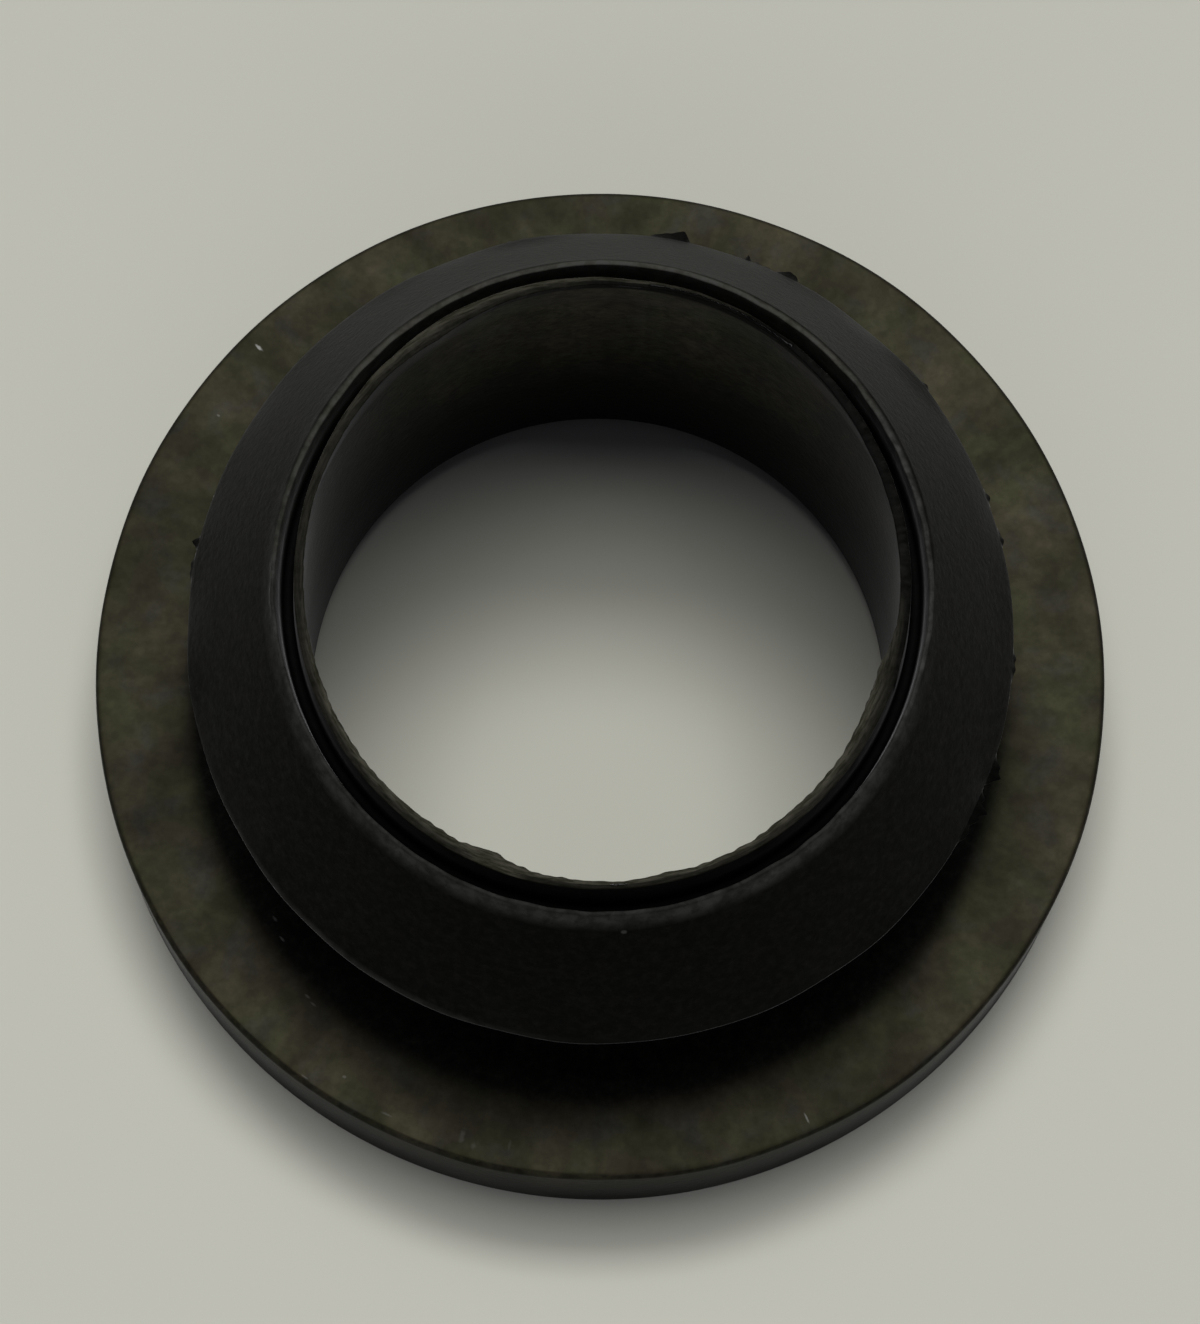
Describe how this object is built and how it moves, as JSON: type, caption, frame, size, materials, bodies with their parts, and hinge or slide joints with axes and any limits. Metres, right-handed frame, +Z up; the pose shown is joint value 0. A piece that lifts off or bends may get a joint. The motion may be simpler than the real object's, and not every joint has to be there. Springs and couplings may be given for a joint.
{
  "type": "sensor seal",
  "caption": "Round moulded rubber seal with a flat flange, a wall groove, a barbed conical head and a thin lip round its bore, for a level sensor in a tank wall.",
  "frame": {"origin": "centre of the flange's flat underside, on the axis of the bore", "axes": "+Z runs up the bore from the flange to the head; X and Y are square to it, with the picture taken from the -Y side"},
  "size_m": [0.028, 0.028, 0.0128],
  "materials": {
    "seal_rubber": "matte black moulded rubber, the flange filmed with olive-brown dust"
  },
  "bodies": {
    "root": {"sensor_seal": "seal_rubber"}
  },
  "joints": []
}
